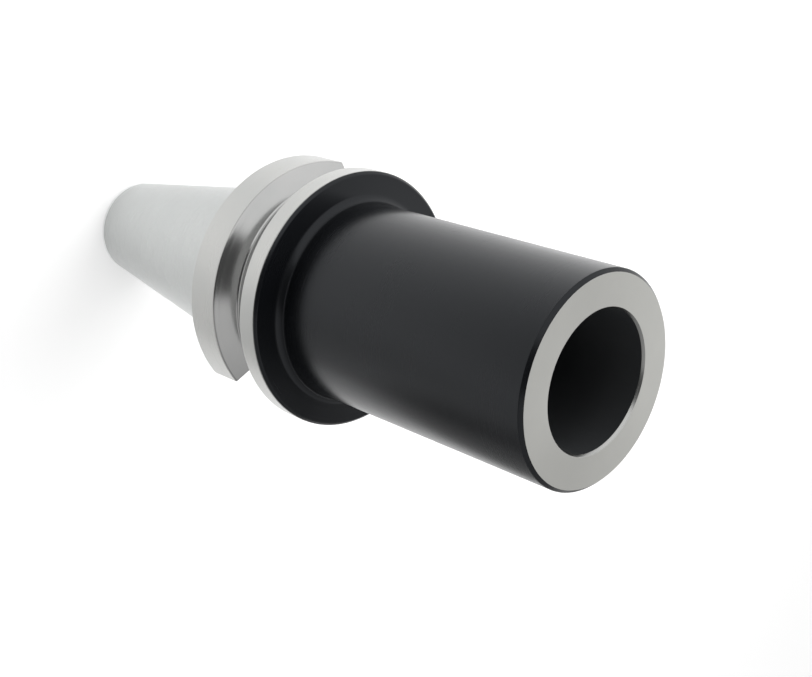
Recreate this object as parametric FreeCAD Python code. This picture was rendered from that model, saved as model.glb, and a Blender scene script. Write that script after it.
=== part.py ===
import FreeCAD, Part
import math
import os
from FreeCAD import Vector

# Tool holder with a 7/24 spindle taper behind its flange and a number 4 Morse socket in
# its nose. A captive screw in the middle draws the tool's shank into the socket, and a
# threaded ring keeps that screw in its pocket.
# Millimetres. The axis is Z, the gauge plane of the spindle taper is z = 0, the nose is
# at +Z, and the two drive slots lie on +X and -X.

# Spindle taper, size 40
gauge_diameter = 44.45
taper_rate = 7 / 24
taper_length = 65.4
small_end_chamfer = 1.0
undercut_depth = 0.5

# Flange with its gripper groove
flange_rear = 2.0
flange_thickness = 25.0
flange_diameter = 63.0
rear_rim_chamfer = 1.1
front_rim_chamfer = 0.7
groove_centre = 16.6
groove_width = 10.0
groove_depth = 5.0
groove_angle = 60.0

# Drive slots: the wall on one side of each is cut back into a lead-in
slot_width = 16.1
slot_floor = 22.6
slot_end_setback = 1.6
slot_corner_radius = 1.0
slot_lead_in = 4.0

# Nose tube
nose_diameter = 48.0
nose_end = 100.0
nose_chamfer = 0.8
nose_root_radius = 2.0

# Number 4 Morse socket
socket_diameter = 31.267
socket_rate = 1 / 19.254
socket_taper_length = 91.8
socket_depth = 107.0
mouth_bevel = 0.37
mouth_bevel_length = 0.64

# Hole for the pull stud, in the small end
stud_pilot_diameter = 17.0
stud_pilot_depth = 9.0
stud_hole_diameter = 14.0
stud_mouth_chamfer = 0.6

# Retaining ring, screwed down onto a shoulder between the socket and the screw's pocket.
# It goes in through the relief at the bottom of the socket.
ring_entry_clearance = 0.25
ring_shoulder = 1.0
ring_length = 9.0
ring_seat_length = 10.0
ring_chamfer = 0.5
ring_slot_width = 4.0
ring_slot_depth = 3.0

# Pocket and draw screw: the ring's shoulder sets the pocket's diameter
pocket_length = 16.0
screw_diameter = 16.0
screw_reach = 27.0
screw_tip_chamfer = 1.5
screw_neck_diameter = 13.0
screw_neck_length = 3.0
head_chamfer = 1.0
key_width = 10.0
key_depth = 8.0
key_mouth_chamfer = 0.4

# Clearances of the screw in its pocket and in the ring
head_side_clearance = 0.5
head_end_float = 0.5
journal_clearance = 0.5

# Length by which a cutting tool runs past the face it starts from
overrun = 1.0

# Heights and radii that follow from the sizes above
flange_front = flange_rear + flange_thickness
flange_radius = flange_diameter / 2
nose_radius = nose_diameter / 2
groove_floor_radius = flange_radius - groove_depth
groove_rear = groove_centre - groove_width / 2
groove_front = groove_centre + groove_width / 2
flank_length = groove_depth * math.tan(math.radians(groove_angle / 2))
slot_end = groove_front - slot_end_setback
small_end = -taper_length
ring_seat_front = nose_end - socket_depth
ring_seat_rear = ring_seat_front - ring_seat_length
ring_front = ring_seat_rear + ring_length
pocket_floor = ring_seat_rear - pocket_length
head_front = ring_seat_rear - head_end_float
relief_radius = (socket_diameter - socket_rate * socket_taper_length) / 2
ring_radius = relief_radius - ring_entry_clearance
pocket_radius = ring_radius - ring_shoulder


def taper_radius(z):
    """Radius of the spindle taper at a height below the gauge plane."""
    return (gauge_diameter + taper_rate * z) / 2


def socket_radius(z):
    """Radius of the Morse taper at a height in the nose."""
    return (socket_diameter - socket_rate * (nose_end - z)) / 2


def turned(start, *moves):
    """Solid turned about Z from an outline of (radius, height) points.

    A move is the next point, or a pair of points for an arc: one on the arc and its end.
    """
    def at(point):
        return Vector(point[0], 0, point[1])

    edges = []
    here = start
    for move in moves + (start,):
        if isinstance(move[0], tuple):
            on_arc, end = move
            edges.append(Part.Arc(at(here), at(on_arc), at(end)).toShape())
        else:
            end = move
            edges.append(Part.LineSegment(at(here), at(end)).toShape())
        here = end
    face = Part.Face(Part.Wire(edges))
    return face.revolve(Vector(0, 0, 0), Vector(0, 0, 1), 360)


def prism(points, z_low, z_high):
    """Straight solid over an outline of (x, y) points."""
    corners = [Vector(x, y, z_low) for x, y in points]
    face = Part.Face(Part.makePolygon(corners + corners[:1]))
    return face.extrude(Vector(0, 0, z_high - z_low))


def both_sides(tool):
    """A cutting tool with its copy half a turn further round."""
    copy = tool.copy()
    copy.rotate(Vector(0, 0, 0), Vector(0, 0, 1), 180)
    return [tool, copy]


# Holder body

def body_blank():
    """Outside of the holder: taper, undercut, flange with groove, root radius and nose."""
    undercut_radius = taper_radius(0) - undercut_depth
    root_centre = (nose_radius + nose_root_radius, flange_front + nose_root_radius)
    on_root = (root_centre[0] - nose_root_radius * math.cos(math.radians(45)),
               root_centre[1] - nose_root_radius * math.sin(math.radians(45)))
    return turned(
        (0, small_end),
        (taper_radius(small_end) - small_end_chamfer, small_end),
        (taper_radius(small_end + small_end_chamfer), small_end + small_end_chamfer),
        (taper_radius(0), 0),
        (undercut_radius, undercut_depth),
        (undercut_radius, flange_rear),
        (flange_radius - rear_rim_chamfer, flange_rear),
        (flange_radius, flange_rear + rear_rim_chamfer),
        (flange_radius, groove_rear),
        (groove_floor_radius, groove_rear + flank_length),
        (groove_floor_radius, groove_front - flank_length),
        (flange_radius, groove_front),
        (flange_radius, flange_front - front_rim_chamfer),
        (flange_radius - front_rim_chamfer, flange_front),
        (root_centre[0], flange_front),
        (on_root, (nose_radius, root_centre[1])),
        (nose_radius, nose_end - nose_chamfer),
        (nose_radius - nose_chamfer, nose_end),
        (0, nose_end),
    )


def stud_hole():
    """Tapped hole with its pilot for the pull stud, open at the small end."""
    pilot_radius = stud_pilot_diameter / 2
    hole_radius = stud_hole_diameter / 2
    mouth_radius = pilot_radius + stud_mouth_chamfer
    return turned(
        (0, small_end - overrun),
        (mouth_radius, small_end - overrun),
        (mouth_radius, small_end),
        (pilot_radius, small_end + stud_mouth_chamfer),
        (pilot_radius, small_end + stud_pilot_depth),
        (hole_radius, small_end + stud_pilot_depth),
        (hole_radius, pocket_floor + overrun),
        (0, pocket_floor + overrun),
    )


def socket_bore():
    """Screw pocket, ring seat and Morse socket, open at the nose."""
    mouth_radius = socket_radius(nose_end) + mouth_bevel
    return turned(
        (0, pocket_floor),
        (pocket_radius, pocket_floor),
        (pocket_radius, ring_seat_rear),
        (ring_radius, ring_seat_rear),
        (ring_radius, ring_seat_front),
        (relief_radius, ring_seat_front),
        (relief_radius, nose_end - socket_taper_length),
        (socket_radius(nose_end - mouth_bevel_length), nose_end - mouth_bevel_length),
        (mouth_radius, nose_end),
        (mouth_radius, nose_end + overrun),
        (0, nose_end + overrun),
    )


def drive_slot():
    """Cutting tool for the slot on +X, floor corners rounded."""
    half = slot_width / 2
    low = flange_rear - overrun
    length = slot_end - low
    slot = Part.makeBox(flange_radius + overrun - slot_floor, slot_width, length,
                        Vector(slot_floor, -half, low))
    corners = [edge for edge in slot.Edges
               if abs(edge.CenterOfMass.x - slot_floor) < 1e-6
               and abs(edge.Length - length) < 1e-6]
    return slot.makeFillet(slot_corner_radius, corners)


def slot_lead():
    """Cutting tool for the lead-in along the +Y wall of the slot on +X."""
    half = slot_width / 2
    rim = math.sqrt(flange_radius ** 2 - (half + slot_lead_in) ** 2)
    inner = rim - slot_lead_in
    outer = flange_radius + overrun
    return prism([(inner, half), (outer, half), (outer, half + outer - inner)],
                 flange_rear - overrun, slot_end)


def holder_body():
    body = body_blank().cut([stud_hole(), socket_bore()])
    return body.cut(both_sides(drive_slot()) + both_sides(slot_lead()))


# Retaining ring

def retaining_ring():
    """Threaded ring on the shoulder in front of the pocket, with two spanner slots."""
    outer = ring_radius
    inner = screw_diameter / 2 + journal_clearance
    ring = turned(
        (inner, ring_seat_rear),
        (outer - ring_chamfer, ring_seat_rear),
        (outer, ring_seat_rear + ring_chamfer),
        (outer, ring_front - ring_chamfer),
        (outer - ring_chamfer, ring_front),
        (inner, ring_front),
    )
    slots = Part.makeBox(2 * (outer + overrun), ring_slot_width, ring_slot_depth + overrun,
                         Vector(-outer - overrun, -ring_slot_width / 2,
                                ring_front - ring_slot_depth))
    return ring.cut(slots)


# Draw screw

def hex_socket():
    """Cutting tool for the key, with a drill point below and a small lead-in."""
    corner = key_width / 2 / math.cos(math.radians(30))
    hexagon = [(corner * math.cos(math.radians(60 * k)), corner * math.sin(math.radians(60 * k)))
               for k in range(6)]
    end = pocket_floor + key_depth
    flats = prism(hexagon, pocket_floor - overrun, end)
    drill_radius = key_width / 2
    drill = turned((0, pocket_floor), (drill_radius, pocket_floor), (drill_radius, end),
                   (0, end + drill_radius * math.tan(math.radians(30))))
    lead = turned((0, pocket_floor - overrun),
                  (corner + key_mouth_chamfer, pocket_floor - overrun),
                  (corner + key_mouth_chamfer, pocket_floor),
                  (0, pocket_floor + corner + key_mouth_chamfer))
    return [flats, drill, lead]


def draw_screw():
    """Captive screw: head in the pocket, journal in the ring, thread in the socket."""
    head_radius = pocket_radius - head_side_clearance
    shank_radius = screw_diameter / 2
    neck_radius = screw_neck_diameter / 2
    neck_start = ring_front
    neck_end = neck_start + screw_neck_length
    tip = ring_front + screw_reach
    step = shank_radius - neck_radius
    screw = turned(
        (0, pocket_floor),
        (head_radius - head_chamfer, pocket_floor),
        (head_radius, pocket_floor + head_chamfer),
        (head_radius, head_front - head_chamfer),
        (head_radius - head_chamfer, head_front),
        (shank_radius, head_front),
        (shank_radius, neck_start),
        (neck_radius, neck_start),
        (neck_radius, neck_end - step),
        (shank_radius, neck_end),
        (shank_radius, tip - screw_tip_chamfer),
        (shank_radius - screw_tip_chamfer, tip),
        (0, tip),
    )
    return screw.cut(hex_socket())


os.makedirs("parts", exist_ok=True)
pieces = {
    "holder_body": holder_body(),
    "retaining_ring": retaining_ring(),
    "draw_screw": draw_screw(),
}
for name, shape in pieces.items():
    solid = shape.Solids[0]
    print(name, "valid", shape.isValid(), "solids", len(shape.Solids), "volume", round(solid.Volume, 1))
    solid.exportStep("parts/" + name + ".step")
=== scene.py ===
# %% [markdown]
# # A spindle tool holder with a Morse socket
#
# The real object is a turned and ground steel holder. Its steep taper sits in the spindle
# of a milling machine, its flange carries the groove for the tool changer and two drive
# slots, and its long blackened nose holds a number 4 Morse shank. A captive screw in the
# middle draws that shank in.
#
# The solids of the holder, the screw and its ring come from the frame. This file gives
# them their finish, their eased edges and their threads, and sets up a small studio. Each
# step starts with a few words on what the thing is and why it is made the way it is.

# %% Load the frame
import math

import bmesh
import bpy
from mathutils import Matrix, Vector


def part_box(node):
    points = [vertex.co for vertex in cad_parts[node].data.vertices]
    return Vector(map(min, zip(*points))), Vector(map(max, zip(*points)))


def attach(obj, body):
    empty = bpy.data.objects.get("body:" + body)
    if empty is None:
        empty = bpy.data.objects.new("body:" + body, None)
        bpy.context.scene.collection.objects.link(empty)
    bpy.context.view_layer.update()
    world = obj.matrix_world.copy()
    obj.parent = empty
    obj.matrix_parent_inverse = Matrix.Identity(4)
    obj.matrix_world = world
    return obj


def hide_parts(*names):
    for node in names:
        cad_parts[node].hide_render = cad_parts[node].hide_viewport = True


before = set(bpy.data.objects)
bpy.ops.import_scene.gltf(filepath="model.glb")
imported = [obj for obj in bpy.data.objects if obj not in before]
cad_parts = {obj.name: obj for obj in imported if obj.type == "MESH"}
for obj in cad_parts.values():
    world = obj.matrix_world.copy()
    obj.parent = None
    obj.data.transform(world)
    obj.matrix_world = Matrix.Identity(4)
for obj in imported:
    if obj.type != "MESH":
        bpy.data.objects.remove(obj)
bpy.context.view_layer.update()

# %% [markdown]
# The frame is in metres, and a machinist thinks in millimetres. Sizes are written in
# millimetres, and one helper turns them into Blender's units when a mesh is made.
# What the solids already say, such as the height of the nose or of the screw's tip, is
# read from the frame, so these meshes can't drift away from it.

# %% Sizes read from the frame
MM = 0.001


def span(node, axis):
    """Lowest and highest coordinate of a solid along an axis, in millimetres."""
    low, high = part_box(node)
    return low[axis] / MM, high[axis] / MM


small_end, nose_end = span("holder_body", 2)
flange_radius = span("holder_body", 1)[1]
ring_rear, ring_front = span("retaining_ring", 2)
ring_radius = span("retaining_ring", 1)[1]
screw_rear, screw_tip = span("draw_screw", 2)
head_radius = span("draw_screw", 1)[1]
print(f"holder from {small_end:.1f} to {nose_end:.1f} mm, screw from {screw_rear:.1f} to {screw_tip:.1f} mm")

# %% [markdown]
# The camera comes first, because everything that follows is judged through it. It stands
# 42 degrees above the horizon, looks down on the nose, and is rolled so that the holder
# lies across the picture with its taper to the left.

# %% Camera
camera_azimuth = 12.0
camera_elevation = 42.17
camera_roll = 109.53
camera_distance = 311.5
camera_aim = (4.55, 0.97, 45.94)
camera_lens = 59.64


def camera_axes():
    """Right, up and back of the camera as unit vectors."""
    turn = math.radians(camera_azimuth)
    rise = math.radians(camera_elevation)
    back = Vector((math.sin(turn) * math.cos(rise), -math.cos(turn) * math.cos(rise), math.sin(rise)))
    level = Vector((0, 0, 1)).cross(back).normalized()
    right = Matrix.Rotation(math.radians(camera_roll), 3, back) @ level
    return right, back.cross(right), back


def make_camera():
    data = bpy.data.cameras.new("camera")
    data.lens = camera_lens
    camera = bpy.data.objects.new("camera", data)
    bpy.context.scene.collection.objects.link(camera)
    right, up, back = camera_axes()
    place = (Vector(camera_aim) + back * camera_distance) * MM
    camera.matrix_world = Matrix.Translation(place) @ Matrix((right, up, back)).transposed().to_4x4()
    bpy.context.scene.camera = camera
    return camera


camera = make_camera()
print("camera at", [round(v, 4) for v in camera.location])

# %% [markdown]
# Every piece here was made on a lathe, so every mesh starts as an outline that is spun
# round the axis. A sharp corner looks wrong in a render: on real metal each edge has a
# tiny round or break that catches light. So a corner of an outline is written as radius,
# height and ease, and the ease is the radius of the small arc put there.

# %% Outlines with eased corners
ARC_STEPS = 4


def eased(corners):
    """Points of an outline whose corners (radius, height, ease) are turned into arcs."""
    points = []
    for k, (radius, height, ease) in enumerate(corners):
        here = Vector((radius, height))
        if not ease:
            points.append(here)
            continue
        to_last = (Vector(corners[k - 1][:2]) - here).normalized()
        to_next = (Vector(corners[(k + 1) % len(corners)][:2]) - here).normalized()
        half = to_last.angle(to_next) / 2
        centre = here + (to_last + to_next).normalized() * ease / math.sin(half)
        start = here + to_last * ease / math.tan(half) - centre
        end = here + to_next * ease / math.tan(half) - centre
        turn = start.angle_signed(end)
        for step in range(ARC_STEPS + 1):
            arm = start.copy()
            arm.rotate(Matrix.Rotation(-turn * step / ARC_STEPS, 2))
            points.append(centre + arm)
    return points


# %% [markdown]
# Spinning could be left to Blender's Screw modifier. Here the rings of points are written
# out, because a closed outline then gives a closed mesh at once, and an outline that
# touches the axis only needs its doubled points merged.

# %% Turned meshes
ROUND_STEPS = 180
# points nearer to each other than this, in metres, are one point
SAME_POINT = 1e-7


def turned(name, outline):
    """Closed mesh of an outline of (radius, height) points spun about Z."""
    mesh = bpy.data.meshes.new(name)
    points = []
    for k in range(ROUND_STEPS):
        angle = 2 * math.pi * k / ROUND_STEPS
        points += [(r * math.cos(angle) * MM, r * math.sin(angle) * MM, z * MM) for r, z in outline]
    count = len(outline)
    faces = []
    for k in range(ROUND_STEPS):
        this, following = k * count, (k + 1) % ROUND_STEPS * count
        for j in range(count):
            after = (j + 1) % count
            faces.append((this + j, following + j, following + after, this + after))
    mesh.from_pydata(points, [], faces)
    piece = bpy.data.objects.new(name, mesh)
    bpy.context.scene.collection.objects.link(piece)
    clean(mesh)
    return piece


def clean(mesh):
    """Merges doubled points and turns every face outwards."""
    bm = bmesh.new()
    bm.from_mesh(mesh)
    bmesh.ops.remove_doubles(bm, verts=bm.verts, dist=SAME_POINT)
    bmesh.ops.dissolve_degenerate(bm, edges=bm.edges, dist=SAME_POINT)
    bmesh.ops.recalc_face_normals(bm, faces=bm.faces)
    bm.to_mesh(mesh)
    bm.free()


# %% [markdown]
# Slots, hexagons and threads are cut with the Boolean modifier, as a cutter would on the
# bench. The modifier is applied straight away and the cutter thrown away, so the scene
# holds only finished metal.

# %% Cutting
def apply_modifiers(piece):
    depsgraph = bpy.context.evaluated_depsgraph_get()
    mesh = bpy.data.meshes.new_from_object(piece.evaluated_get(depsgraph))
    piece.modifiers.clear()
    piece.data = mesh


def combine(piece, other, operation):
    """Cuts, joins or keeps the common part of two closed meshes."""
    step = piece.modifiers.new(operation.lower(), "BOOLEAN")
    step.operation = operation
    step.solver = "EXACT"
    step.object = other
    bpy.context.view_layer.update()
    apply_modifiers(piece)
    bpy.data.objects.remove(other)


# %% [markdown]
# The holder's outline goes up the outside and comes back down the bore. From the small
# end: the taper, a short undercut, the flange with its 60 degree groove, the root radius
# and the nose tube, then the bevel and the Morse socket, the seat and pocket of the screw,
# and the hole for the pull stud.
#
# The eases are named after how the edges came about. Turned edges are fine or soft, edges
# that were ground are crisp, and the ends of the stud's hole are as a drill leaves them.
# The edges of the groove were rolled over so that a gripper slides in, and the front rim is
# a little worn from handling.

# %% Holder outline
gauge_radius = 22.225
taper_rise = 7 / 48
flange_rear, flange_front = 2.0, 27.0
small_end_chamfer, undercut = 1.0, 0.5
rear_rim_chamfer, front_rim_chamfer = 1.1, 0.7
groove_centre, groove_half, groove_depth, groove_half_angle = 16.6, 5.0, 5.0, 30
groove_flank = groove_depth * math.tan(math.radians(groove_half_angle))
nose_radius, nose_chamfer, root_radius = 24.0, 0.8, 2.0
socket_radius, socket_rise = 15.6335, 1 / 38.508
mouth_bevel, mouth_bevel_length = 0.37, 0.64
relief_radius, relief_top, relief_floor = 13.25, 8.2, -7.0
pocket_radius, stud_radius, stud_pilot_radius = 12.0, 7.0, 8.5
stud_pilot_depth, stud_mouth_chamfer = 9.0, 0.6
stud_pilot_top = small_end + stud_pilot_depth
crisp, fine, soft, worn, drilled, rolled = 0.06, 0.12, 0.3, 0.45, 0.5, 0.8


def taper_radius(height):
    return gauge_radius + taper_rise * height


def holder_corners():
    inner_groove = flange_radius - groove_depth
    outside = [
        (taper_radius(small_end) - small_end_chamfer, small_end, fine),
        (taper_radius(small_end + small_end_chamfer), small_end + small_end_chamfer, fine),
        (gauge_radius, 0.0, fine),
        (gauge_radius - undercut, undercut, fine),
        (gauge_radius - undercut, flange_rear, soft),
        (flange_radius - rear_rim_chamfer, flange_rear, fine),
        (flange_radius, flange_rear + rear_rim_chamfer, fine),
        (flange_radius, groove_centre - groove_half, rolled),
        (inner_groove, groove_centre - groove_half + groove_flank, rolled),
        (inner_groove, groove_centre + groove_half - groove_flank, rolled),
        (flange_radius, groove_centre + groove_half, worn),
        (flange_radius, flange_front - front_rim_chamfer, worn),
        (flange_radius - front_rim_chamfer, flange_front, worn),
        (nose_radius, flange_front, root_radius),
        (nose_radius, nose_end - nose_chamfer, soft),
        (nose_radius - nose_chamfer, nose_end, crisp),
    ]
    inside = [
        (socket_radius + mouth_bevel, nose_end, crisp),
        (socket_radius - socket_rise * mouth_bevel_length, nose_end - mouth_bevel_length, crisp),
        (relief_radius, relief_top, crisp),
        (relief_radius, relief_floor, fine),
        (ring_radius, relief_floor, 0),
        (ring_radius, ring_rear, fine),
        (pocket_radius, ring_rear, fine),
        (pocket_radius, screw_rear, fine),
        (stud_radius, screw_rear, drilled),
        (stud_radius, stud_pilot_top, drilled),
        (stud_pilot_radius, stud_pilot_top, fine),
        (stud_pilot_radius, small_end + stud_mouth_chamfer, fine),
        (stud_pilot_radius + stud_mouth_chamfer, small_end, fine),
    ]
    return outside + inside


holder = turned("holder", eased(holder_corners()))
print("holder turned,", len(holder.data.polygons), "faces")

# %% [markdown]
# The two drive slots take the keys of the spindle. They are 16.1 mm wide, their floor is
# flat, and one wall of each is cut back at 45 degrees. Their cutter is an outline in the
# plane of the flange, pushed along the axis. The corners of the floor are rounded by the
# same easing as the lathe outlines.

# %% Drive slots
slot_half, slot_floor, slot_end = 8.05, 22.6, 20.0
slot_corner, slot_lead, overrun = 1.0, 4.0, 1.0


def prism(name, outline, low, high):
    """Closed mesh of an (x, y) outline pushed along Z."""
    mesh = bpy.data.meshes.new(name)
    count = len(outline)
    points = [(x * MM, y * MM, low * MM) for x, y in outline]
    points += [(x * MM, y * MM, high * MM) for x, y in outline]
    faces = [tuple(range(count)), tuple(range(count, 2 * count))]
    faces += [(k, (k + 1) % count, (k + 1) % count + count, k + count) for k in range(count)]
    mesh.from_pydata(points, [], faces)
    clean(mesh)
    piece = bpy.data.objects.new(name, mesh)
    bpy.context.scene.collection.objects.link(piece)
    return piece


def slot_cutter(side):
    """Cutter for the slot on +X, or on -X where side is -1."""
    outer = flange_radius + overrun
    rim = math.sqrt(flange_radius ** 2 - (slot_half + slot_lead) ** 2)
    lead_start = rim - slot_lead
    corners = [
        (slot_floor, -slot_half, slot_corner),
        (outer, -slot_half, 0),
        (outer, slot_half + outer - lead_start, 0),
        (lead_start, slot_half, 0),
        (slot_floor, slot_half, slot_corner),
    ]
    outline = [(side * x, side * y) for x, y in eased(corners)]
    return prism("slot_cutter", outline, flange_rear - overrun, slot_end)


for side in (1, -1):
    combine(holder, slot_cutter(side), "DIFFERENCE")
print("drive slots cut,", len(holder.data.polygons), "faces")

# %% [markdown]
# A thread is a ridge that climbs one pitch with each turn. Its mesh follows the helix:
# each strip of faces runs along the ridge, so crest and root stay clean lines. The ridge
# is made too long, and its ends are cut flat and closed. Its profile is given as shares of
# one pitch: the end of the root, the two edges of the crest, and the root again.

# %% Threads
THREAD_STEPS = 96
spare_turns, turns_below = 2, 1.5
root_end, crest_start, crest_end, root_start = 0.06, 0.44, 0.56, 0.94


def cut_flat(bm, height, normal):
    everything = bm.verts[:] + bm.edges[:] + bm.faces[:]
    cut = bmesh.ops.bisect_plane(
        bm, geom=everything, plane_co=(0, 0, height * MM), plane_no=(0, 0, normal), clear_outer=True)
    rim = [item for item in cut["geom_cut"] if isinstance(item, bmesh.types.BMEdge)]
    bmesh.ops.edgeloop_fill(bm, edges=rim)


def threaded_rod(name, crest, root, pitch, low, high):
    """Closed rod with a right-handed thread between two heights."""
    profile = [(root, root_end), (crest, crest_start), (crest, crest_end), (root, root_start)]
    turns = math.ceil((high - low) / pitch) + spare_turns
    bm = bmesh.new()
    grid = []
    for turn in range(turns):
        for radius, share in profile:
            row = []
            for k in range(THREAD_STEPS + 1):
                angle = 2 * math.pi * k / THREAD_STEPS
                height = low + (turn - turns_below + share + k / THREAD_STEPS) * pitch
                point = (radius * math.cos(angle) * MM, radius * math.sin(angle) * MM, height * MM)
                row.append(bm.verts.new(point))
            grid.append(row)
    for lower, upper in zip(grid, grid[1:]):
        for k in range(THREAD_STEPS):
            bm.faces.new((lower[k], lower[k + 1], upper[k + 1], upper[k]))
    bmesh.ops.remove_doubles(bm, verts=bm.verts, dist=SAME_POINT)
    cut_flat(bm, high, 1)
    cut_flat(bm, low, -1)
    bmesh.ops.recalc_face_normals(bm, faces=bm.faces)
    mesh = bpy.data.meshes.new(name)
    bm.to_mesh(mesh)
    bm.free()
    piece = bpy.data.objects.new(name, mesh)
    bpy.context.scene.collection.objects.link(piece)
    return piece


# %% Thread of the stud hole
stud_crest, stud_root, coarse_pitch, tap_overrun = 8.0, 6.9, 2.0, 0.5
stud_thread = threaded_rod(
    "stud_thread", stud_crest, stud_root, coarse_pitch,
    stud_pilot_top - tap_overrun, screw_rear + tap_overrun)
combine(holder, stud_thread, "DIFFERENCE")
print("stud hole tapped,", len(holder.data.polygons), "faces")

# %% [markdown]
# The draw screw is turned in one outline: head, journal and neck, and the core of its
# threaded end. The thread is trimmed to the chamfer of the tip by keeping only what lies
# inside a plain chamfered blank, and then joined on. The crest starts a hair too high, so
# that the blank trims it cleanly. The hexagon, its drill point and the lead-in at its mouth
# are cut last.

# %% Draw screw
screw_radius, screw_root = 8.0, 6.77
neck_radius, neck_length = 6.5, 3.0
head_float, head_chamfer, tip_chamfer = 0.5, 1.0, 1.5
inner_ease, core_overlap, crest_spare = 0.4, 1.0, 0.02
head_front = ring_rear - head_float
neck_step = screw_radius - neck_radius
neck_top = ring_front + neck_length
neck_end = neck_top - neck_step


def screw_thread():
    """Threaded end of the screw, trimmed to a chamfered blank."""
    blank = turned("thread_blank", eased([
        (0, neck_end, 0),
        (neck_radius, neck_end, 0),
        (screw_radius, neck_top, fine),
        (screw_radius, screw_tip - tip_chamfer, fine),
        (screw_radius - tip_chamfer, screw_tip, fine),
        (0, screw_tip, 0),
    ]))
    thread = threaded_rod("screw_thread", screw_radius + crest_spare, screw_root, coarse_pitch,
                          neck_end - overrun, screw_tip + overrun)
    combine(thread, blank, "INTERSECT")
    return thread


def make_screw():
    screw = turned("screw", eased([
        (0, screw_rear, 0),
        (head_radius - head_chamfer, screw_rear, fine),
        (head_radius, screw_rear + head_chamfer, fine),
        (head_radius, head_front - head_chamfer, fine),
        (head_radius - head_chamfer, head_front, fine),
        (screw_radius, head_front, inner_ease),
        (screw_radius, ring_front, fine),
        (neck_radius, ring_front, inner_ease),
        (neck_radius, neck_end + core_overlap, 0),
        (0, neck_end + core_overlap, 0),
    ]))
    combine(screw, screw_thread(), "UNION")
    return screw


# %% Key socket of the screw
key_half, key_depth, key_mouth_chamfer = 5.0, 8.0, 0.4
hexagon_turn, drill_point = 60, 30
key_corner = key_half / math.cos(math.radians(hexagon_turn / 2))


def cut_key_socket(screw):
    start = screw_rear - overrun
    bottom = screw_rear + key_depth
    angles = [math.radians(hexagon_turn * k) for k in range(6)]
    hexagon = [(key_corner * math.cos(angle), key_corner * math.sin(angle)) for angle in angles]
    combine(screw, prism("hexagon", hexagon, start, bottom), "DIFFERENCE")
    drill_tip = bottom + key_half * math.tan(math.radians(drill_point))
    drill = turned("drill", [(0, start), (key_half, start), (key_half, bottom), (0, drill_tip)])
    combine(screw, drill, "DIFFERENCE")
    mouth = key_corner + key_mouth_chamfer
    lead = turned("lead", [(0, start), (mouth, start), (mouth, screw_rear), (0, screw_rear + mouth)])
    combine(screw, lead, "DIFFERENCE")


screw = make_screw()
cut_key_socket(screw)
print("draw screw made,", len(screw.data.polygons), "faces")

# %% [markdown]
# The retaining ring is a plain threaded ring with two spanner slots across its front
# face. Its outer thread is buried in the holder, so it stays a plain cylinder here.

# %% Retaining ring
ring_bore, ring_chamfer, ring_slot_half, ring_slot_depth = 8.5, 0.5, 2.0, 3.0


def make_ring():
    ring = turned("ring", eased([
        (ring_bore, ring_rear, fine),
        (ring_radius - ring_chamfer, ring_rear, fine),
        (ring_radius, ring_rear + ring_chamfer, fine),
        (ring_radius, ring_front - ring_chamfer, fine),
        (ring_radius - ring_chamfer, ring_front, fine),
        (ring_bore, ring_front, soft),
    ]))
    reach, half = ring_radius + overrun, ring_slot_half
    outline = [(-reach, -half), (reach, -half), (reach, half), (-reach, half)]
    slots = prism("spanner_slots", outline, ring_front - ring_slot_depth, ring_front + overrun)
    combine(ring, slots, "DIFFERENCE")
    return ring


ring = make_ring()
print("ring made,", len(ring.data.polygons), "faces")

# %% [markdown]
# Smooth shading blends the light across neighbouring faces. On turned metal the big faces
# must stay flat and only the eased edges may blend, so the normals are weighted by face
# area, and a crease of more than 35 degrees stays sharp.

# %% Shading
crease_angle, area_weight = 35, 100


def shade(piece):
    piece.data.shade_smooth()
    piece.data.set_sharp_from_angle(angle=math.radians(crease_angle))
    step = piece.modifiers.new("weighted", "WEIGHTED_NORMAL")
    step.keep_sharp = True
    step.weight = area_weight
    bpy.context.view_layer.update()
    apply_modifiers(piece)


for piece in (holder, screw, ring):
    shade(piece)
    print(piece.name, "shaded,", len(piece.data.vertices), "points")

# %% [markdown]
# All the finishes share one thing: tool marks that run round the axis. A coordinate that
# adds the distance from the axis to the height stays the same along such a mark, on a
# cylinder, a cone or a flat face alike. Noise read along that one number makes rings. Noise
# seldom leaves the middle of its range, so that middle is what gets mapped to a finish.

# %% Node helpers
noise_low, noise_high = 0.3, 0.7


def new_material(name):
    material = bpy.data.materials.new(name)
    material.use_nodes = True
    tree = material.node_tree
    return material, tree.nodes, tree.links, tree.nodes["Principled BSDF"]


def math_node(nodes, links, operation, first, second):
    node = nodes.new("ShaderNodeMath")
    node.operation = operation
    for socket, value in zip(node.inputs, (first, second)):
        if isinstance(value, bpy.types.NodeSocket):
            links.new(value, socket)
        else:
            socket.default_value = value
    return node.outputs["Value"]


def ring_coordinate(nodes, links):
    """Distance from the axis plus height, in metres."""
    place = nodes.new("ShaderNodeTexCoord").outputs["Object"]
    split = nodes.new("ShaderNodeSeparateXYZ")
    links.new(place, split.inputs[0])
    flat = nodes.new("ShaderNodeCombineXYZ")
    links.new(split.outputs["X"], flat.inputs["X"])
    links.new(split.outputs["Y"], flat.inputs["Y"])
    length = nodes.new("ShaderNodeVectorMath")
    length.operation = "LENGTH"
    links.new(flat.outputs[0], length.inputs[0])
    return math_node(nodes, links, "ADD", length.outputs["Value"], split.outputs["Z"]), place


def noise(nodes, links, source, scale, detail, dimensions):
    node = nodes.new("ShaderNodeTexNoise")
    node.noise_dimensions = dimensions
    node.inputs["Scale"].default_value = scale
    node.inputs["Detail"].default_value = detail
    links.new(source, node.inputs["W" if dimensions == "1D" else "Vector"])
    return node.outputs["Fac"]


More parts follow.
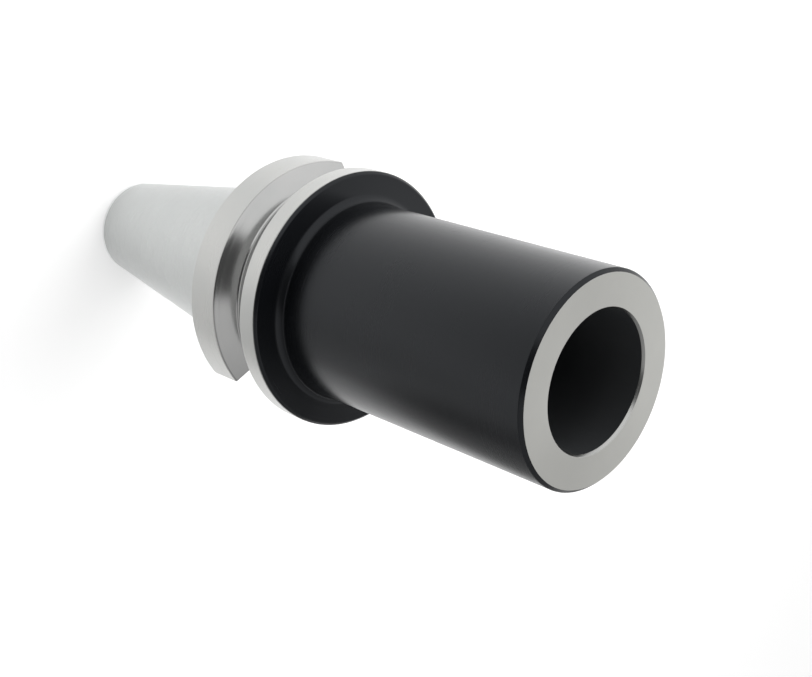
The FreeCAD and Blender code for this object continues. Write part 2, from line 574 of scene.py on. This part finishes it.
def spread(nodes, links, source, low, high):
    """The middle of a noise mapped to the range from low to high."""
    node = nodes.new("ShaderNodeMapRange")
    node.inputs["From Min"].default_value = noise_low
    node.inputs["From Max"].default_value = noise_high
    node.inputs["To Min"].default_value = low
    node.inputs["To Max"].default_value = high
    links.new(source, node.inputs["Value"])
    return node.outputs["Result"]


def tint(nodes, links, factor, low, high):
    node = nodes.new("ShaderNodeMix")
    node.data_type = "RGBA"
    node.inputs["A"].default_value = (*low, 1)
    node.inputs["B"].default_value = (*high, 1)
    links.new(factor, node.inputs["Factor"])
    return node.outputs["Result"]


# %% [markdown]
# Bare ground steel: a grinding wheel leaves marks far finer than the eye resolves, so a
# highlight smears across them. That is what the shader's anisotropy does, with its
# tangent running round the axis. A faint bump and small changes of roughness keep it from
# looking like plastic.
#
# One function makes all the finishes, because they differ only in numbers. Colours go from
# a low to a high tone in slow clouds, and depth is the depth of a tool mark in millimetres.

# %% How a turned finish is made
mark_detail, cloud_detail, clouds_per_metre, roughness_play = 3.0, 4.0, 60.0, 0.02


def turned_metal(name, low, high, metallic, roughness, marks_per_mm, depth, smear):
    """Steel with marks that run round the axis. low and high are its colours."""
    material, nodes, links, shader = new_material(name)
    along, place = ring_coordinate(nodes, links)
    marks = noise(nodes, links, along, marks_per_mm / MM, mark_detail, "1D")
    clouds = noise(nodes, links, place, clouds_per_metre, cloud_detail, "3D")
    tone = spread(nodes, links, clouds, 0.0, 1.0)
    links.new(tint(nodes, links, tone, low, high), shader.inputs["Base Color"])
    rough_marks = spread(nodes, links, marks, roughness - roughness_play, roughness + roughness_play)
    rough_clouds = spread(nodes, links, clouds, -roughness_play, roughness_play)
    rough = math_node(nodes, links, "ADD", rough_marks, rough_clouds)
    links.new(rough, shader.inputs["Roughness"])
    shader.inputs["Metallic"].default_value = metallic
    shader.inputs["Anisotropic"].default_value = smear
    tangent = nodes.new("ShaderNodeTangent")
    tangent.direction_type = "RADIAL"
    tangent.axis = "Z"
    links.new(tangent.outputs["Tangent"], shader.inputs["Tangent"])
    bump = nodes.new("ShaderNodeBump")
    bump.inputs["Strength"].default_value = 1.0
    bump.inputs["Distance"].default_value = depth * MM
    links.new(marks, bump.inputs["Height"])
    links.new(bump.outputs["Normal"], shader.inputs["Normal"])
    return material


# %% [markdown]
# The taper and the rims come off the grinder with the same bright grey, the nose face with a duller one. The
# floor of the groove is given a darker grey than the rims, and its flanks are smooth enough to carry a sharp
# reflection. The slots are milled. Inside the stud's hole the steel is dark with oil.
#
# The blackening is a thin layer of oxide. Its surface mirrors less than a paint would, and
# what it mirrors turns slightly blue.

# %% Bare steel
ground_taper = turned_metal(
    "ground_taper", (0.480, 0.492, 0.487), (0.515, 0.528, 0.522),
    metallic=1.0, roughness=0.27, marks_per_mm=5.0, depth=0.0004, smear=0.5)
ground_rim = turned_metal(
    "ground_rim", (0.465, 0.470, 0.460), (0.515, 0.515, 0.502),
    metallic=1.0, roughness=0.25, marks_per_mm=4.0, depth=0.0004, smear=0.5)
groove_flank_steel = turned_metal(
    "groove_flank_steel", (0.47, 0.475, 0.47), (0.53, 0.53, 0.525),
    metallic=1.0, roughness=0.17, marks_per_mm=3.0, depth=0.0003, smear=0.4)
# The groove's floor gets a darker grey than the rims.
darker_groove_floor = turned_metal(
    "darker_groove_floor", (0.335, 0.340, 0.335), (0.390, 0.390, 0.385),
    metallic=1.0, roughness=0.22, marks_per_mm=3.0, depth=0.0004, smear=0.5)
ground_face = turned_metal(
    "ground_face", (0.490, 0.490, 0.468), (0.540, 0.540, 0.516),
    metallic=1.0, roughness=0.36, marks_per_mm=4.0, depth=0.0006, smear=0.3)
milled_steel = turned_metal(
    "milled_steel", (0.42, 0.43, 0.43), (0.50, 0.50, 0.50),
    metallic=1.0, roughness=0.34, marks_per_mm=2.5, depth=0.0010, smear=0.0)

# %% Blackened steel and the dark bore
oxide_shine, oxide_tint = 0.36, (0.90, 0.94, 1.0)

black_steel = turned_metal(
    "black_steel", (0.0042, 0.0048, 0.0058), (0.0056, 0.0062, 0.0074),
    metallic=0.0, roughness=0.25, marks_per_mm=2.0, depth=0.00002, smear=0.0)
# The bore of the socket is given a plain dark grey, a little lighter than the blackened outside.
black_bore = turned_metal(
    "black_bore", (0.032, 0.034, 0.036), (0.044, 0.046, 0.048),
    metallic=0.0, roughness=0.34, marks_per_mm=3.0, depth=0.0006, smear=0.0)
oiled_thread = turned_metal(
    "oiled_thread", (0.05, 0.05, 0.05), (0.09, 0.09, 0.09),
    metallic=1.0, roughness=0.36, marks_per_mm=2.0, depth=0.0010, smear=0.0)
for oxide in (black_steel, black_bore):
    shader = oxide.node_tree.nodes["Principled BSDF"]
    shader.inputs["Specular IOR Level"].default_value = oxide_shine
    shader.inputs["Specular Tint"].default_value = (*oxide_tint, 1)
print("finishes made")

# %% [markdown]
# The holder is blackened all over and then ground where it has to fit or look bright. So
# the finish of a face follows from where it lies. A short list of rules, read from the
# top, says which finish it gets. The blackening ends on the chamfer of the front rim, where
# the grinding of the rim begins. The spares are small lengths in millimetres that keep a
# face on a border, or on an eased edge, with the right neighbour.

# %% Where each finish lies
in_plane, bevel_spare, groove_spare, spare, rim_spare, ease_spare = 0.01, 0.02, 0.05, 0.1, 0.2, 0.6
black_edge, thinnest_wall, steep = 0.58, 2, 0.5
holder_finishes = [ground_taper, ground_rim, groove_flank_steel, darker_groove_floor, ground_face, milled_steel,
                   black_steel, black_bore, oiled_thread]


def holder_finish(face):
    """The finish of one face of the holder, from its distance to the axis and its height."""
    radius = face.center.to_2d().length / MM
    height = face.center.z / MM
    if radius < stud_pilot_radius + spare and height < screw_rear + ease_spare:
        return oiled_thread
    if height > nose_end - in_plane and radius < nose_radius - nose_chamfer:
        return ground_face
    if radius < socket_radius + mouth_bevel and height > nose_end - mouth_bevel_length - bevel_spare:
        return ground_rim
    inner = min(socket_radius, taper_radius(height) - thinnest_wall)
    if radius < inner and height > screw_rear - spare:
        return black_bore
    if height > flange_front - black_edge:
        return black_steel
    if height < flange_rear - in_plane:
        return ground_taper
    beside_slot = abs(face.center.y) < (slot_half + slot_lead) * MM and height < slot_end + spare
    if beside_slot and radius < flange_radius - rim_spare:
        if radius < flange_radius - groove_depth - groove_spare or abs(face.normal.y) > steep:
            return milled_steel
    if groove_centre - groove_half < height < groove_centre + groove_half:
        return groove_flank_steel if abs(face.normal.z) > steep else darker_groove_floor
    return ground_rim


for finish in holder_finishes:
    holder.data.materials.append(finish)
for face in holder.data.polygons:
    face.material_index = holder_finishes.index(holder_finish(face))
screw.data.materials.append(oiled_thread)
ring.data.materials.append(milled_steel)
for index, finish in enumerate(holder_finishes):
    faces = [face for face in holder.data.polygons if face.material_index == index]
    print(finish.name, "on", len(faces), "faces")

# %% [markdown]
# Now the meshes take the place of the solids and ride on their bodies. The screw rides on its own body,
# because it turns.

# %% Seat the pieces
for piece, node, body, slot in (
        (holder, "holder_body", "holder", "holder_steel"),
        (ring, "retaining_ring", "holder", "ring_steel"),
        (screw, "draw_screw", "draw_screw", "screw_steel")):
    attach(piece, body)
    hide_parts(node)
print("pieces seated")

# %% [markdown]
# Polished metal shows mostly what stands around it, so the surround is half of the
# finish. Here it is a light tent with a bright wall on the left, a dimmer one on the
# right and a back wall between them. The camera looks in through an opening in front. The
# opening goes on over the top as a dark strip, which leaves the front face of the flange
# black and gives the groove its dark streak. The tent is painted on the world by
# direction, which costs nothing to render and has no noise.
#
# A direction is split into its share across the view, its share away from the camera and
# its height, each between -1 and 1. Each edge of the opening is a smooth step of one of
# these shares. Its left and right edges drift to the side with the share away from or
# towards the camera. The levels are set against 1 for white.

# %% Helpers for smooth steps
def ramp(nodes, links, source, low, high):
    """Smooth step of a value from 0 at low to 1 at high."""
    node = nodes.new("ShaderNodeMapRange")
    node.interpolation_type = "SMOOTHSTEP"
    node.inputs["From Min"].default_value = low
    node.inputs["From Max"].default_value = high
    links.new(source, node.inputs["Value"])
    return node.outputs["Result"]


def along_vector(nodes, links, source, vector):
    """Share of a direction that lies along a fixed vector."""
    node = nodes.new("ShaderNodeVectorMath")
    node.operation = "DOT_PRODUCT"
    node.inputs[1].default_value = vector
    links.new(source, node.inputs[0])
    return node.outputs["Value"]


def blend(nodes, links, share, first, second):
    """Number that goes from the first value to the second as share goes from 0 to 1."""
    node = nodes.new("ShaderNodeMix")
    node.data_type = "FLOAT"
    links.new(share, node.inputs["Factor"])
    for socket, value in ((node.inputs["A"], first), (node.inputs["B"], second)):
        if isinstance(value, bpy.types.NodeSocket):
            links.new(value, socket)
        else:
            socket.default_value = value
    return node.outputs["Result"]


# %% Light tent
left_wall, right_wall_top, right_wall_foot, opening_level = 1.08, 0.70, 0.30, 0.08
right_wall_rise = (0.1, 0.95)
left_to_right = (0.0, 0.55)
wall_foot, wall_foot_height = 0.8, (0.0, 0.3)
opening_left, left_drift_behind = -0.2, 0.20
opening_right, right_drift_behind, right_drift_in_front = 0.22, 0.2, 0.45
opening_soft = 0.05
opening_in_front = (0.0, -0.3)
back_wall_top = (0.62, 0.68)


def make_tent():
    world = bpy.data.worlds.new("light_tent")
    world.use_nodes = True
    nodes, links = world.node_tree.nodes, world.node_tree.links
    direction = nodes.new("ShaderNodeTexCoord").outputs["Generated"]
    turn = math.radians(camera_azimuth)
    across = along_vector(nodes, links, direction, (math.cos(turn), math.sin(turn), 0))
    away = along_vector(nodes, links, direction, (-math.sin(turn), math.cos(turn), 0))
    split = nodes.new("ShaderNodeSeparateXYZ")
    links.new(direction, split.inputs[0])

    def part(operation, first, second):
        return math_node(nodes, links, operation, first, second)

    behind = part("MAXIMUM", away, 0.0)
    in_front = part("MAXIMUM", part("MULTIPLY", away, -1.0), 0.0)
    left_edge = part("ADD", part("MULTIPLY", behind, left_drift_behind), opening_left)
    drift_behind = part("MULTIPLY", behind, right_drift_behind)
    drift_in_front = part("MULTIPLY", in_front, right_drift_in_front)
    right_edge = part("ADD", part("ADD", drift_behind, drift_in_front), opening_right)
    past_left = ramp(nodes, links, part("SUBTRACT", across, left_edge), -opening_soft, opening_soft)
    before_right = ramp(nodes, links, part("SUBTRACT", right_edge, across), -opening_soft, opening_soft)
    height = split.outputs["Z"]
    over_back_wall = ramp(nodes, links, height, *back_wall_top)
    at_camera = ramp(nodes, links, away, *opening_in_front)
    above_or_in_front = part("MAXIMUM", over_back_wall, at_camera)
    opening = part("MULTIPLY", part("MULTIPLY", past_left, before_right), above_or_in_front)
    up_right_wall = ramp(nodes, links, height, *right_wall_rise)
    right_wall = blend(nodes, links, up_right_wall, right_wall_foot, right_wall_top)
    foot = blend(nodes, links, ramp(nodes, links, height, *wall_foot_height), wall_foot, 1.0)
    side = ramp(nodes, links, across, *left_to_right)
    walls = blend(nodes, links, side, part("MULTIPLY", foot, left_wall), right_wall)
    strength = blend(nodes, links, opening, walls, opening_level)
    links.new(strength, nodes["Background"].inputs["Strength"])
    nodes["Background"].inputs["Color"].default_value = (1, 1, 1, 1)
    bpy.context.scene.world = world


make_tent()
print("light tent made, walls", left_wall, right_wall_foot, right_wall_top, "opening", opening_level)

# %% [markdown]
# The holder stands on a sheet of white paper. Seen from above, the sides of the tube
# mirror nothing but this paper, so the paper makes the tube's light and dark. A soft lamp
# on the left brightens it there, and the tube shows that as the soft line along its upper
# edge. A weaker lamp fills the other side.
#
# Beyond the edges of the picture, shade is painted into the paper: its colour is made darker there, so that
# the lower side of the tube, which mirrors it, stays dark. Each area of painted shade is the product of
# smooth steps along directions on the floor. It is given as a depth and its steps, each of them an azimuth
# in degrees, and where the step starts and is full, in millimetres.
#
# The paper also gets a small lift of emitted light, for the camera and for reflections alike, so that it
# reads as white and keeps the soft shadow of the holder. The painted shade lowers this lift too. It is
# one-way: from below the floor it lets the view through.

# %% White paper with painted shade
paper_white, paper_lift, paper_roughness = 0.94, 0.31, 0.9
paper_half = 4000
# Painted shade on the paper: for each darkened area, its depth and its smooth steps.
shade_towards_camera = (0.30, ((102.0, -120, -330),))
shade_beyond_left_edge = (0.34, ((-56.5, 46, 66), (0.0, 10, 130), (90.0, -170, -80)))
shade_beyond_lower_edge = (0.72, ((14.4, 138, 166), (14.4, 480, 280), (102.0, -120, -10)))


def painted_paper_shade(nodes, links):
    """1 on the white paper, less where shade is painted into it."""
    place = nodes.new("ShaderNodeTexCoord").outputs["Object"]
    tone = 1.0
    for depth, steps in (shade_towards_camera, shade_beyond_left_edge, shade_beyond_lower_edge):
        painted_shade = depth
        for azimuth, start, full in steps:
            turn = math.radians(azimuth)
            distance = along_vector(nodes, links, place, (math.cos(turn), math.sin(turn), 0))
            step = ramp(nodes, links, distance, start * MM, full * MM)
            painted_shade = math_node(nodes, links, "MULTIPLY", step, painted_shade)
        left_over = math_node(nodes, links, "SUBTRACT", 1.0, painted_shade)
        tone = math_node(nodes, links, "MULTIPLY", left_over, tone)
    return tone


def make_floor():
    mesh = bpy.data.meshes.new("floor")
    half = paper_half * MM
    level = small_end * MM
    corners = [(-half, -half, level), (half, -half, level), (half, half, level), (-half, half, level)]
    mesh.from_pydata(corners, [], [(0, 1, 2, 3)])
    floor = bpy.data.objects.new("floor", mesh)
    bpy.context.scene.collection.objects.link(floor)
    material, nodes, links, shader = new_material("white_paper")
    # The paper's colour is darkened by the painted shade.
    tone = painted_paper_shade(nodes, links)
    grey = nodes.new("ShaderNodeCombineColor")
    for channel in ("Red", "Green", "Blue"):
        links.new(math_node(nodes, links, "MULTIPLY", tone, paper_white), grey.inputs[channel])
    links.new(grey.outputs["Color"], shader.inputs["Base Color"])
    shader.inputs["Roughness"].default_value = paper_roughness
    shader.inputs["Specular IOR Level"].default_value = 0.0
    shader.inputs["Emission Color"].default_value = (1, 1, 1, 1)
    path = nodes.new("ShaderNodeLightPath")
    seen = math_node(nodes, links, "MAXIMUM", path.outputs["Is Camera Ray"], path.outputs["Is Glossy Ray"])
    seen = math_node(nodes, links, "MAXIMUM", seen, path.outputs["Is Transmission Ray"])
    # The glow is lowered by the same painted shade.
    lift = math_node(nodes, links, "MULTIPLY", tone, paper_lift)
    links.new(math_node(nodes, links, "MULTIPLY", seen, lift), shader.inputs["Emission Strength"])
    one_way = nodes.new("ShaderNodeMixShader")
    links.new(nodes.new("ShaderNodeNewGeometry").outputs["Backfacing"], one_way.inputs["Fac"])
    links.new(shader.outputs["BSDF"], one_way.inputs[1])
    links.new(nodes.new("ShaderNodeBsdfTransparent").outputs["BSDF"], one_way.inputs[2])
    links.new(one_way.outputs["Shader"], nodes["Material Output"].inputs["Surface"])
    mesh.materials.append(material)


make_floor()
print("white paper laid at", round(small_end, 2), "mm")

# %% [markdown]
# In a real tent the lamps stand outside the cloth, and the metal mirrors the cloth and not
# the lamps. So these two are hidden from the camera and from reflections. Both are large
# squares near the paper, because a large lamp close by gives soft light.

# %% Soft lamps
lamp_size = 380


def soft_lamp(name, place, aim, power):
    """Square soft lamp at a place, in millimetres, that looks at an aim."""
    data = bpy.data.lights.new(name, "AREA")
    data.shape = "SQUARE"
    data.size = lamp_size * MM
    data.energy = power
    lamp = bpy.data.objects.new(name, data)
    bpy.context.scene.collection.objects.link(lamp)
    lamp.location = Vector(place) * MM
    lamp.rotation_mode = "QUATERNION"
    lamp.rotation_quaternion = (Vector(place) - Vector(aim)).to_track_quat("Z", "Y")
    lamp.visible_camera = False
    lamp.visible_glossy = False


soft_lamp("side_lamp", place=(-360, 50, 150), aim=(-160, 30, small_end), power=0.88)
soft_lamp("fill_lamp", place=(260, 40, 200), aim=(90, 40, small_end), power=0.30)
bpy.context.scene.view_settings.view_transform = "Standard"
print("studio ready")
